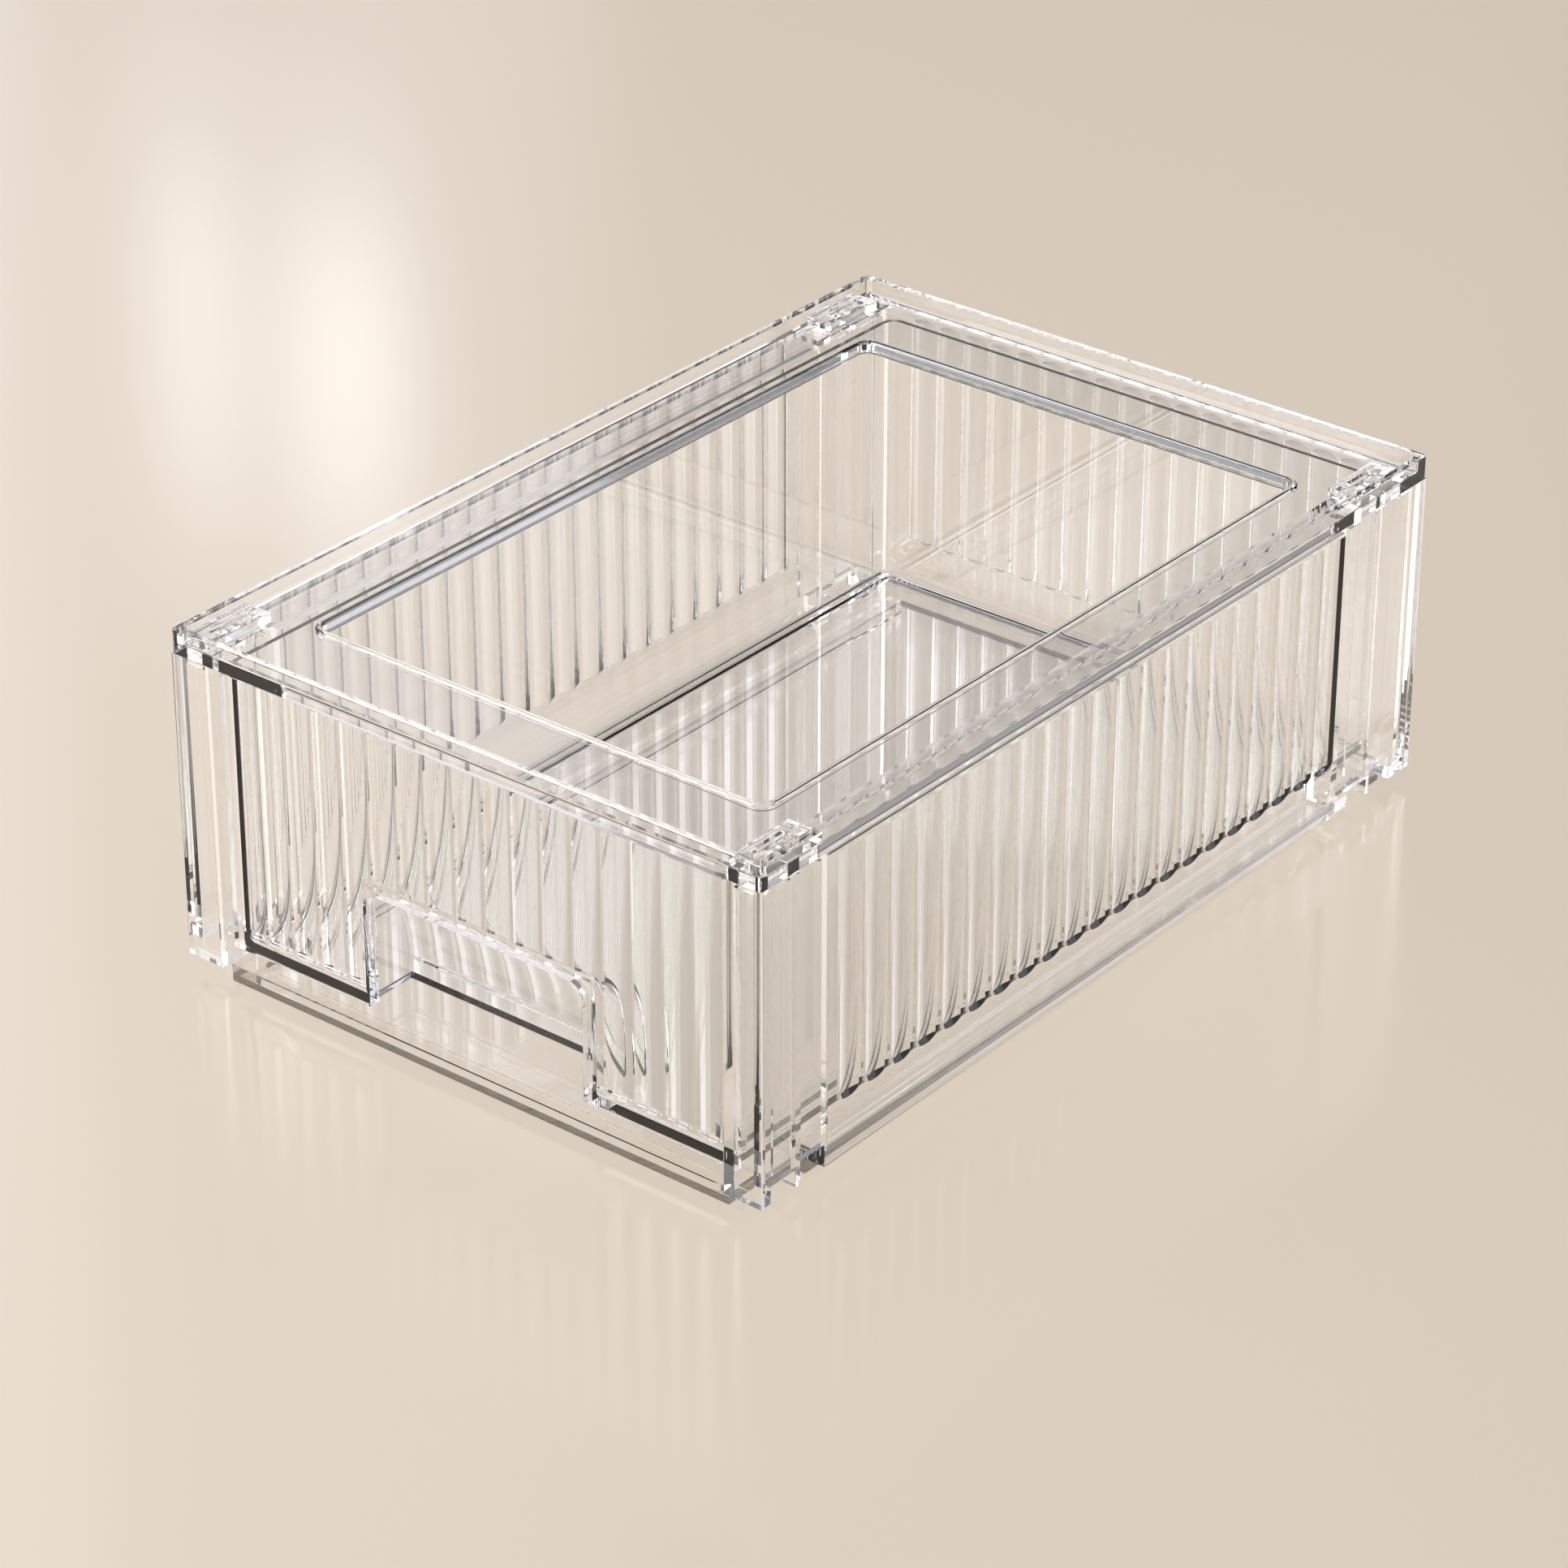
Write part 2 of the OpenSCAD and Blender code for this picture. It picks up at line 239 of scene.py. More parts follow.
@dataclass(frozen=True)
class PaleCounter:
    """Honed pale stone-coloured laminate: the plain surface that the box stands on."""

    name: str = "pale_counter_laminate"
    colour: str = "#e7d7c1"
    roughness: float = 0.12
    ior: float = 1.5

    def build(self) -> bpy.types.Material:
        """Makes the material.

        Returns:
            A plain, half-polished pale material.
        """
        material = bpy.data.materials.new(self.name)
        material.use_nodes = True
        tree = material.node_tree
        tree.nodes.clear()
        surface = place(
            tree,
            "ShaderNodeBsdfPrincipled",
            {"Base Color": linear(self.colour), "Roughness": self.roughness, "IOR": self.ior},
        )
        place(tree, "ShaderNodeOutputMaterial", {"Surface": surface})
        return material


# ---------------------------------------------------------------- solids


def mesh_object(name: str, shape: bmesh.types.BMesh) -> bpy.types.Object:
    """Turns a shape in millimetres into an object in metres, with its faces outwards.

    Args:
        name: Name of the new object.
        shape: The shape, which is freed.

    Returns:
        The object, at the origin.
    """
    bmesh.ops.recalc_face_normals(shape, faces=shape.faces)
    bmesh.ops.scale(shape, vec=(MM, MM, MM), verts=shape.verts)
    mesh = bpy.data.meshes.new(name)
    shape.to_mesh(mesh)
    shape.free()
    made = bpy.data.objects.new(name, mesh)
    bpy.context.scene.collection.objects.link(made)
    return made


def prism(name: str, outline: Sequence[Point2], axis: Axis, low: float, high: float) -> bpy.types.Object:
    """Draws a flat outline out along an axis.

    Args:
        name: Name of the new object.
        outline: Points in the plane's two other axes, taken in the order X, Y, Z, in millimetres.
        axis: The direction that the outline is drawn out along.
        low: Where the prism starts on that axis.
        high: Where it ends.

    Returns:
        A closed prism.
    """
    shape = bmesh.new()
    ends = []
    for along in (low, high):
        corners = []
        for u, v in outline:
            point = [u, v]
            point.insert(axis.value, along)
            corners.append(shape.verts.new(point))
        ends.append(corners)
    shape.faces.new(ends[0])
    shape.faces.new(ends[1])
    for i, corner in enumerate(ends[0]):
        after = (i + 1) % len(outline)
        shape.faces.new((corner, ends[0][after], ends[1][after], ends[1][i]))
    return mesh_object(name, shape)


def block(name: str, low: Point3, high: Point3) -> bpy.types.Object:
    """Makes a plain box from its lowest and highest corners, in millimetres."""
    outline = [(low[0], low[1]), (high[0], low[1]), (high[0], high[1]), (low[0], high[1])]
    return prism(name, outline, Axis.Z, low[2], high[2])


def rounded_rectangle(half_u: float, half_v: float, radius: float, steps: int = 8) -> list[Point2]:
    """Outline of a rectangle with round corners, centred on the origin.

    Args:
        half_u: Half its first size.
        half_v: Half its second size.
        radius: Radius of its corners.
        steps: Straight pieces in each corner.

    Returns:
        The outline, anticlockwise.
    """
    outline = []
    for quarter, (u, v) in enumerate(((1, 1), (-1, 1), (-1, -1), (1, -1))):
        for i in range(steps + 1):
            angle = (quarter + i / steps) * math.pi / 2
            outline.append(
                (
                    u * (half_u - radius) + radius * math.cos(angle),
                    v * (half_v - radius) + radius * math.sin(angle),
                )
            )
    return outline


def gate(half: float, foot: float, head: float, radius: float) -> list[Point2]:
    """Outline of a gate: square at its foot, with two round corners at its head.

    Args:
        half: Half its width.
        foot: Height of its foot.
        head: Height of its head.
        radius: Radius of the two upper corners.

    Returns:
        The outline, anticlockwise.
    """
    outline = [(-half, foot), (half, foot)]
    steps = 8
    for centre, quarter in ((half - radius, 0), (radius - half, 1)):
        for i in range(steps + 1):
            angle = (quarter + i / steps) * math.pi / 2
            outline.append((centre + radius * math.cos(angle), head - radius + radius * math.sin(angle)))
    return outline


@dataclass(frozen=True)
class Ring:
    """One level line of a moulding that runs round a rectangle, in millimetres."""

    half_x: float
    half_y: float
    radius: float
    z: float
    centre_y: float = 0.0

    def points(self) -> list[Point3]:
        """The ring's points, the same number for every ring."""
        flat = rounded_rectangle(self.half_x, self.half_y, self.radius)
        return [(x, y + self.centre_y, self.z) for x, y in flat]


def ring_moulding(name: str, rings: Sequence[Ring], closed: bool) -> bpy.types.Object:
    """Skins a row of rings.

    Args:
        name: Name of the new object.
        rings: The rings in order, round the section of the moulding.
        closed: True if the last ring joins the first, as in a frame. Otherwise both ends get a cap,
            as in a tray.

    Returns:
        A closed solid.
    """
    shape = bmesh.new()
    rows = [[shape.verts.new(p) for p in ring.points()] for ring in rings]
    count = len(rows[0])
    last = len(rows) if closed else len(rows) - 1
    for i in range(last):
        lower, upper = rows[i], rows[(i + 1) % len(rows)]
        for k in range(count):
            after = (k + 1) % count
            shape.faces.new((lower[k], lower[after], upper[after], upper[k]))
    if not closed:
        shape.faces.new(rows[0])
        shape.faces.new(rows[-1])
    return mesh_object(name, shape)


def settle(piece: bpy.types.Object) -> bpy.types.Object:
    """Turns the piece's modifiers into plain mesh and removes them.

    Args:
        piece: The object to settle.

    Returns:
        The same object.
    """
    evaluated = piece.evaluated_get(bpy.context.evaluated_depsgraph_get())
    mesh = bpy.data.meshes.new_from_object(evaluated)
    piece.modifiers.clear()
    piece.data = mesh
    return piece


def combine(base: bpy.types.Object, tools: Sequence[bpy.types.Object], how: Cut) -> bpy.types.Object:
    """Joins, carves or crosses a solid with others, which are used up.

    Args:
        base: The solid that changes.
        tools: The solids that change it.
        how: What they do to it.

    Returns:
        The changed solid.
    """
    for tool in tools:
        change = base.modifiers.new(tool.name, "BOOLEAN")
        change.operation = how.value
        change.solver = "EXACT"
        change.object = tool
    settle(base)
    for tool in tools:
        bpy.data.objects.remove(tool)
    return base


def round_edges(
    piece: bpy.types.Object, radius: float, segments: int = 2, limit_deg: float = 50
) -> bpy.types.Object:
    """Rounds every edge that turns by more than a limit.

    Args:
        piece: The solid to round.
        radius: Radius of the rounded edges, in millimetres.
        segments: Flat facets across each rounded edge.
        limit_deg: Edges that turn by less stay as they are.

    Returns:
        The same solid.
    """
    bevel = piece.modifiers.new("mould_edges", "BEVEL")
    bevel.width = radius * MM
    bevel.segments = segments
    bevel.limit_method = "ANGLE"
    bevel.angle_limit = math.radians(limit_deg)
    bevel.miter_outer = "MITER_ARC"
    return settle(piece)


def flat_faces(shape: bmesh.types.BMesh, width: float = 1.2, turn_deg: float = 0.2) -> dict[int, int]:
    """Finds the faces that make up flat areas wider than a limit.

    Args:
        shape: The mesh to search.
        width: The narrowest area that counts, in millimetres.
        turn_deg: Faces that meet at less than this angle lie in one area.

    Returns:
        The number of its area for each face index in a flat area.
    """
    shape.faces.ensure_lookup_table()
    areas: dict[int, int] = {}
    seen: set[int] = set()
    for seed in shape.faces:
        if seed.index in seen:
            continue
        seen.add(seed.index)
        members, queue = [], [seed]
        while queue:
            face = queue.pop()
            members.append(face)
            for edge in face.edges:
                if len(edge.link_faces) != 2 or edge.calc_face_angle(math.pi) > math.radians(turn_deg):
                    continue
                for other in edge.link_faces:
                    if other.index not in seen:
                        seen.add(other.index)
                        queue.append(other)
        corners = [vert.co for face in members for vert in face.verts]
        spread = [max(c[i] for c in corners) - min(c[i] for c in corners) for i in range(3)]
        longest = max(spread)
        if sum(face.calc_area() for face in members) > width * MM * longest:
            areas.update((face.index, seed.index) for face in members)
    return areas


def shade(piece: bpy.types.Object, smooth_deg: float = 20, plane: tuple[Axis, float] | None = None) -> None:
    """Shades curved faces smoothly and keeps flat areas flat, so that they don't act as lenses.

    Args:
        piece: The solid to shade.
        smooth_deg: Narrow faces that meet at less than this angle blend into each other.
        plane: An axis and a place on it, in millimetres: faces in that plane never blend with others.
    """
    shape = bmesh.new()
    shape.from_mesh(piece.data)
    bmesh.ops.remove_doubles(shape, verts=shape.verts, dist=WELD / 2 * MM)
    for face in shape.faces:
        face.smooth = True
    shape.faces.index_update()
    areas = flat_faces(shape)

    axis, place_on_axis = plane or (Axis.Z, math.inf)

    def in_plane(face: bmesh.types.BMFace) -> bool:
        """True if the face lies in the given plane."""
        return all(abs(v.co[axis.value] - place_on_axis * MM) < WELD * MM for v in face.verts)

    limit = math.radians(smooth_deg)
    for edge in shape.edges:
        if len(edge.link_faces) == 2:
            first, second = edge.link_faces
            split = in_plane(first) != in_plane(second) or areas.get(first.index) != areas.get(second.index)
            edge.smooth = not split and edge.calc_face_angle(math.pi) < limit
    shape.to_mesh(piece.data)
    shape.free()


def dress(piece: bpy.types.Object, node: str, body: str, material: bpy.types.Material) -> None:
    """Gives a finished piece its material, and puts it in the place of its CAD node.

    Args:
        piece: The finished piece.
        node: The CAD node that it stands for.
        body: The CAD body that it rides on.
        material: What it is made of.
    """
    piece.name = f"{node}_moulding"
    piece.data.materials.clear()
    piece.data.materials.append(material)
    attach(piece, body)
    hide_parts(node)
    LOG.info("%s: %d faces", piece.name, len(piece.data.polygons))


# ---------------------------------------------------------------- flutes


@dataclass(frozen=True)
class FluteRow:
    """A row of upright concave flutes, in millimetres, for a wall that faces -Y at y = 0.

    A flute is depth deep, and a land is left between two. It ends in a rounded run-out of the length
    run at its foot, and at its head too unless the head is square. The cutters start clear of the wall.
    """

    width: float
    pitch: float
    foot: float
    head: float
    depth: float = 0.7
    land: float = 0.7
    run: float = 0.9
    square_head: bool = True
    clear: float = 0.1
    tool_back: float = 0.4
    facets_across: int = 18
    facets_up: int = 43

    def count(self) -> int:
        """How many whole flutes fit the width."""
        return math.floor(self.width / self.pitch)

    def radius(self) -> float:
        """Radius of one flute's hollow."""
        half = (self.pitch - self.land) / 2
        return (half**2 + self.depth**2) / (2 * self.depth)

    def tree(self) -> bpy.types.GeometryNodeTree:
        """Builds the Geometry Nodes tree that makes the row's cutters.

        One cutter is a block whose inner face is bent to the flute's hollow and which swings out of the
        wall over the length of its run-out. It is repeated along X.

        Returns:
            The tree, with named inputs for the flute's sizes.
        """
        tree = bpy.data.node_groups.new("flute_cutters", "GeometryNodeTree")
        for name, kind in (
            ("Count", "NodeSocketInt"),
            ("Pitch", "NodeSocketFloat"),
            ("Radius", "NodeSocketFloat"),
            ("Depth", "NodeSocketFloat"),
            ("Half Angle", "NodeSocketFloat"),
            ("Foot", "NodeSocketFloat"),
            ("Head", "NodeSocketFloat"),
            ("Run", "NodeSocketFloat"),
            ("Head Closed", "NodeSocketFloat"),
            ("Back", "NodeSocketFloat"),
            ("Material", "NodeSocketMaterial"),
        ):
            tree.interface.new_socket(name, in_out="INPUT", socket_type=kind)
        tree.interface.new_socket("Geometry", in_out="OUTPUT", socket_type="NodeSocketGeometry")
        sizes = place(tree, "NodeGroupInput").outputs
        blank = place(
            tree,
            "GeometryNodeMeshCube",
            {
                "Size": (1.0, 1.0, 1.0),
                "Vertices X": self.facets_across + 1,
                "Vertices Y": 2,
                "Vertices Z": self.facets_up + 1,
            },
        )
        corner = place(tree, "ShaderNodeSeparateXYZ", {0: place(tree, "GeometryNodeInputPosition")})
        values: dict[object, Feed] = {size.name: size for size in sizes}
        values |= dict(zip(("across", "inward", "up"), corner.outputs))
        # Each line names a value, the operation that gives it and what that takes. "swing" is the radius
        # of the arc along which the tool leaves the wall, and "past" how far a corner is along it.
        for name, operation, *terms in (
            ("whole angle", "MULTIPLY", "Half Angle", 2.0),
            ("angle", "MULTIPLY", "across", "whole angle"),
            ("sine", "SINE", "angle"),
            ("x", "MULTIPLY", "sine", "Radius"),
            ("height", "SUBTRACT", "Head", "Foot"),
            ("share", "ADD", "up", 0.5),
            ("z", "MULTIPLY_ADD", "share", "height", "Foot"),
            ("cosine", "COSINE", "angle"),
            ("arc", "MULTIPLY", "cosine", "Radius"),
            ("bow", "SUBTRACT", "arc", "Radius"),
            ("hollow", "ADD", "bow", "Depth"),
            ("run squared", "POWER", "Run", 2.0),
            ("depth squared", "POWER", "Depth", 2.0),
            ("squares", "ADD", "run squared", "depth squared"),
            ("twice the depth", "MULTIPLY", "Depth", 2.0),
            ("swing", "DIVIDE", "squares", "twice the depth"),
            ("run-out's top", "ADD", "Foot", "Run"),
            ("below", "SUBTRACT", "run-out's top", "z"),
            ("run-in's foot", "SUBTRACT", "Head", "Run"),
            ("over", "SUBTRACT", "z", "run-in's foot"),
            ("above", "MULTIPLY", "over", "Head Closed"),
            ("at an end", "MAXIMUM", "below", "above"),
            ("past", "MAXIMUM", "at an end", 0.0),
            ("swing squared", "POWER", "swing", 2.0),
            ("past squared", "POWER", "past", 2.0),
            ("square left", "SUBTRACT", "swing squared", "past squared"),
            ("side left", "SQRT", "square left"),
            ("out", "SUBTRACT", "swing", "side left"),
            ("behind", "MULTIPLY", "Back", -1.0),
            ("front", "SUBTRACT", "behind", "out"),
            ("hollow y", "SUBTRACT", "hollow", "out"),
            ("inner", "GREATER_THAN", "inward", 0.0),
            ("thickness", "SUBTRACT", "hollow y", "front"),
            ("y", "MULTIPLY_ADD", "inner", "thickness", "front"),
            ("gaps", "SUBTRACT", "Count", 1.0),
            ("span", "MULTIPLY", "gaps", "Pitch"),
            ("first x", "MULTIPLY", "span", -0.5),
        ):
            inputs = {index: values.get(term, term) for index, term in enumerate(terms)}
            values[name] = place(tree, "ShaderNodeMath", inputs, operation=operation)
        moved = place(tree, "ShaderNodeCombineXYZ", {0: values["x"], 1: values["y"], 2: values["z"]})
        shaped = place(tree, "GeometryNodeSetPosition", {"Geometry": blank, "Position": moved})
        start = place(tree, "ShaderNodeCombineXYZ", {0: values["first x"]})
        step = place(tree, "ShaderNodeCombineXYZ", {0: sizes["Pitch"]})
        line = place(
            tree,
            "GeometryNodeMeshLine",
            {"Count": sizes["Count"], "Start Location": start, "Offset": step},
            mode="OFFSET",
        )
        repeated = place(tree, "GeometryNodeInstanceOnPoints", {"Points": line, "Instance": shaped})
        real = place(tree, "GeometryNodeRealizeInstances", {"Geometry": repeated})
        made = place(tree, "GeometryNodeSetMaterial", {"Geometry": real, "Material": sizes["Material"]})
        place(tree, "NodeGroupOutput", {"Geometry": made})
        return tree

    def cutters(self, name: str, material: bpy.types.Material, to_wall: Matrix) -> bpy.types.Object:
        """Makes the row's cutters as one mesh.

        Args:
            name: Name of the new object.
            material: Material of the wall that they cut.
            to_wall: Turns and moves the row, in metres, onto its wall.

        Returns:
            The cutters as one object at the origin.
        """
        radius = self.radius()
        values = {
            "Count": self.count(),
            "Pitch": self.pitch * MM,
            "Radius": radius * MM,
            "Depth": self.depth * MM,
            "Half Angle": math.acos((radius - self.depth - self.clear) / radius),
            "Foot": self.foot * MM,
            "Head": self.head * MM,
            "Run": self.run * MM,
            "Head Closed": 0.0 if self.square_head else 1.0,
            "Back": (self.clear + self.tool_back) * MM,
            "Material": material,
        }
        made = bpy.data.objects.new(name, bpy.data.meshes.new(name))
        bpy.context.scene.collection.objects.link(made)
        modifier = made.modifiers.new("flutes", "NODES")
        modifier.node_group = self.tree()
        for item in modifier.node_group.interface.items_tree:
            if item.in_out == "INPUT":
                modifier[item.identifier] = values[item.name]
        settle(made)
        made.data.transform(to_wall)
        return made


# ---------------------------------------------------------------- sizes shared by the pieces


@dataclass(frozen=True)
class Levels:
    """Main sizes of the box in millimetres, read from the fixed frame."""

    half_w: float
    half_d: float
    rim_top: float
    plate_top: float
    side_top: float
    side_foot: float
    post_inner: float
    back_inner: float
    foot_half_x: float
    foot_half_y: float
    runner_top: float
    drawer_low: Point3
    drawer_high: Point3
    wall: float = 3.2
    seam: float = 0.06
    flute_rise: float = 14.5

    def flute_foot(self) -> float:
        """Where the flutes of the side and back walls start."""
        return self.side_foot + self.flute_rise

    @classmethod
    def read(cls) -> "Levels":
        """Reads the levels from the CAD nodes' boxes.

        Returns:
            The levels.
        """
        _, top_high = (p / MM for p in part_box("top_panel"))
        side_low, side_high = (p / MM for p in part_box("side_panel_right"))
        back_low, _ = (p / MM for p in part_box("back_panel"))
        _, base_high = (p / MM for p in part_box("base_panel"))
        low, high = (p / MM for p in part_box("drawer"))
        rim_height = 4.0
        return cls(
            half_w=top_high.x,
            half_d=top_high.y,
            rim_top=top_high.z,
            plate_top=top_high.z - rim_height,
            side_top=side_high.z,
            side_foot=side_low.z,
            post_inner=side_low.x,
            back_inner=back_low.y,
            foot_half_x=base_high.x,
            foot_half_y=base_high.y,
            runner_top=base_high.z,
            drawer_low=tuple(low),
            drawer_high=tuple(high),
        )


@dataclass
class CornerClip:
    """Two-legged snap clip that holds the top panel down on a corner post.

    Its head has a finger slot with a hook-shaped widening at each end. The holes for its legs reach
    from hole_below under the side panel's top to hole_above over the plate.
    """

    levels: Levels
    length: float = 19.0
    head_height: float = 2.6
    rim_width: float = 2.2
    clearance: float = 0.2
    leg_length: float = 6.4
    leg_thickness: float = 4.4
    leg_height: float = 3.4
    leg_inset: float = 1.0
    hole_below: float = 6.0
    hole_above: float = 3.0
    slot_width: float = 2.0
    slot_depth: float = 1.0
    slot_end: float = 3.0
    hook_reach: float = 1.2
    edge: float = 0.25

    def leg_x(self) -> float:
        """Middle of the legs, just inside the post's outer wall."""
        return self.levels.half_w - self.levels.wall - self.clearance - self.leg_thickness / 2

    def leg_offset(self) -> float:
        """Distance of each leg's middle from the clip's middle."""
        return (self.length - self.leg_length) / 2 - self.leg_inset

    def centre_y(self, back: bool) -> float:
        """Middle of a front or back clip."""
        _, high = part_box("clip_back_right" if back else "clip_front_right")
        return high.y / MM - self.length / 2

    def leg_holes(self, side: int, margin: float) -> list[bpy.types.Object]:
        """Cutters for the legs of both clips on one side.

        Args:
            side: 1 for the right side and -1 for the left.
            margin: How far the holes go past the legs on every side.

        Returns:
            Four upright blocks.
        """
        holes = []
        for back in (False, True):
            for leg in (-1, 1):
                x = side * self.leg_x()
                y = self.centre_y(back) + leg * self.leg_offset()
                half = (self.leg_thickness / 2 + margin, self.leg_length / 2 + margin)
                low = (x - half[0], y - half[1], self.levels.side_top - self.hole_below)
                high = (x + half[0], y + half[1], self.levels.plate_top + self.hole_above)
                holes.append(block("leg_hole", low, high))
        return holes

    def build(self, node: str, side: int, back: bool, material: bpy.types.Material) -> None:
        """Makes one clip.

        Args:
            node: The CAD node that it stands for.
            side: 1 for the right side and -1 for the left.
            back: True for a back corner.
            material: What it is made of.
        """
        levels = self.levels
        width = levels.half_w - levels.post_inner - self.rim_width - 2 * self.clearance
        x = side * (levels.half_w - self.rim_width - self.clearance - width / 2)
        y = self.centre_y(back)
        bottom = levels.plate_top + levels.seam
        top = levels.plate_top + self.head_height
        head = block(
            "clip_head",
            (x - width / 2, y - self.length / 2, bottom),
            (x + width / 2, y + self.length / 2, top),
        )
        half_x, half_y = self.leg_thickness / 2, self.leg_length / 2
        leg_x = side * self.leg_x()
        leg_foot = levels.plate_top - self.leg_height
        legs = []
        for leg in (-1, 1):
            leg_y = y + leg * self.leg_offset()
            low = (leg_x - half_x, leg_y - half_y, leg_foot)
            high = (leg_x + half_x, leg_y + half_y, bottom + OVERLAP)
            legs.append(block("clip_leg", low, high))
        combine(head, legs, Cut.JOIN)
        slot_half = self.length / 2 - self.slot_end
        slot_floor, above = top - self.slot_depth, top + OVERSHOOT
        half = self.slot_width / 2
        slot_low, slot_high = (x - half, y - slot_half, slot_floor), (x + half, y + slot_half, above)
        slots = [block("clip_slot", slot_low, slot_high)]
        near = x - half - (self.hook_reach if side > 0 else 0)
        far = x + half + (self.hook_reach if side < 0 else 0)
        for end in (-1, 1):
            middle = y + end * (slot_half - half)
            slots.append(block("clip_hook", (near, middle - half, slot_floor), (far, middle + half, above)))
        combine(head, slots, Cut.CARVE)
        round_edges(head, self.edge)
        shade(head)
        dress(head, node, "case", material)


@dataclass
class BasePanel:
    """Floor of the frame, with the foot that nests in the rim below and two drawer runners."""

    levels: Levels
    web: float = 2.5
    skirt: float = 5.0
    runner_width: float = 4.0
    runner_x: float = 64.6
    runner_ends: Point2 = (-112.0, 114.3)
    foot_radius: float = 2.0
    recess_radius: float = 3.0
    pocket_margin: float = 0.6
    edge: float = 0.4

    def build(self, clip: CornerClip, material: bpy.types.Material) -> None:
        """Makes the panel.

        Args:
            clip: The clips whose heads the foot's corner pockets take.
            material: What it is made of.
        """
        levels = self.levels
        foot_top = levels.side_foot
        outline = rounded_rectangle(levels.foot_half_x, levels.foot_half_y, self.foot_radius)
        panel = prism("base_panel_blank", outline, Axis.Z, 0, foot_top)
        front, back_end = self.runner_ends
        half = self.runner_width / 2
        runners = []
        for x in (-self.runner_x, self.runner_x):
            low = (x - half, front, foot_top - OVERLAP)
            runners.append(block("runner", low, (x + half, back_end, levels.runner_top)))
        combine(panel, runners, Cut.JOIN)
        hollow = rounded_rectangle(
            levels.post_inner - self.skirt, levels.foot_half_y - self.skirt, self.recess_radius
        )
        recess = prism("foot_recess", hollow, Axis.Z, -OVERSHOOT, foot_top - self.web)
        margin = self.pocket_margin
        pockets = []
        for side in (-1, 1):
            for back in (False, True):
                y = clip.centre_y(back)
                inner, outer = levels.post_inner - margin, levels.half_w + OVERSHOOT
                near, far = sorted((side * inner, side * outer))
                low = (near, y - clip.length / 2 - margin, -OVERSHOOT)
                high = (far, y + clip.length / 2 + margin, foot_top + OVERSHOOT)
                pockets.append(block("stack_pocket", low, high))
        combine(panel, [recess, *pockets], Cut.CARVE)
        round_edges(panel, self.edge)
        shade(panel)
        dress(panel, "base_panel", "case", material)


@dataclass
class SidePanel:
    """Fluted side wall with flanges along its top and foot and a ribbed hollow post at each end."""

    levels: Levels
    jamb: float = 3.0
    front_post: float = 25.0
    back_post: float = 34.0
    rib: float = 2.4
    middle_rib: float = 1.6
    flange: float = 2.2
    post_wall: float = 1.8
    notch_height: float = 6.0
    low_notch_height: float = 4.5
    edge: float = 0.35
    flutes: FluteRow = field(init=False)

    def __post_init__(self) -> None:
        """Lays the flutes out between the posts."""
        self.flutes = FluteRow(
            width=2 * self.levels.half_d - self.front_post - self.back_post,
            pitch=9.45,
            foot=self.levels.flute_foot(),
            head=self.levels.side_top - self.flange,
        )

    def build(self, side: int, clip: CornerClip, material: bpy.types.Material) -> None:
        """Makes one side panel.

        Args:
            side: 1 for the right side and -1 for the left.
            clip: The clips whose legs the top flange takes.
            material: What it is made of.
        """
        levels = self.levels
        seam = levels.seam
        low_z, high_z = levels.side_foot + seam, levels.side_top - seam
        outer, wall_inner = levels.half_w, levels.half_w - levels.wall
        inner = levels.post_inner
        back_face = levels.back_inner - seam
        front_face = -levels.half_d

        def part(x0: float, x1: float, y0: float, y1: float, z0: float, z1: float) -> bpy.types.Object:
            """A block of the panel, with x counted outwards from the middle of the box."""
            near, far = sorted((side * x0, side * x1))
            return block("side_part", (near, y0, z0), (far, y1, z1))

        panel = part(wall_inner, outer, front_face, levels.half_d, low_z, high_z)
        joined = wall_inner + OVERLAP
        ribs = [
            (front_face, front_face + self.jamb),
            self.around(clip.centre_y(False)),
            (front_face + self.front_post - self.rib, front_face + self.front_post),
            (levels.half_d - self.back_post, levels.half_d - self.back_post + self.rib),
            self.around(clip.centre_y(True)),
            (back_face - self.rib, back_face),
        ]
        flanges = [
            part(inner, joined, front_face, back_face, low_z, low_z + self.flange),
            part(inner, joined, front_face, back_face, high_z - self.flange, high_z),
        ]
        posts = [part(inner, joined, y0, y1, low_z, high_z) for y0, y1 in ribs]
        for y0, y1 in ((ribs[0][0], ribs[2][1]), (ribs[3][0], ribs[5][1])):
            posts.append(part(inner, inner + self.post_wall, y0, y1, low_z, high_z))
        combine(panel, flanges + posts, Cut.JOIN)
        notches = []
        pocket_x, outside, below = inner + self.post_wall, outer + OVERSHOOT, low_z - OVERSHOOT
        for back in (False, True):
            y = clip.centre_y(back)
            front_rib, back_rib = self.around(y)
            for y0, y1, height in (
                (y - clip.length / 2, front_rib, self.low_notch_height),
                (back_rib, y + clip.length / 2, self.notch_height),
            ):
                notches.append(part(pocket_x, outside, y0, y1, below, low_z + height))
        combine(panel, notches + clip.leg_holes(side, clip.clearance), Cut.CARVE)
        round_edges(panel, self.edge)
        middle_y = (self.front_post - self.back_post) / 2
        turn = Matrix.Rotation(side * math.pi / 2, 4, "Z")
        to_wall = Matrix.Translation(Vector((side * outer, middle_y, 0)) * MM) @ turn
        combine(panel, [self.flutes.cutters("side_flutes", material, to_wall)], Cut.CARVE)
        shade(panel, plane=(Axis.X, side * outer))
        node = "side_panel_right" if side > 0 else "side_panel_left"
        dress(panel, node, "case", material)

    def around(self, y: float) -> Point2:
        """The two faces of a post's middle rib, centred on y."""
        return y - self.middle_rib / 2, y + self.middle_rib / 2


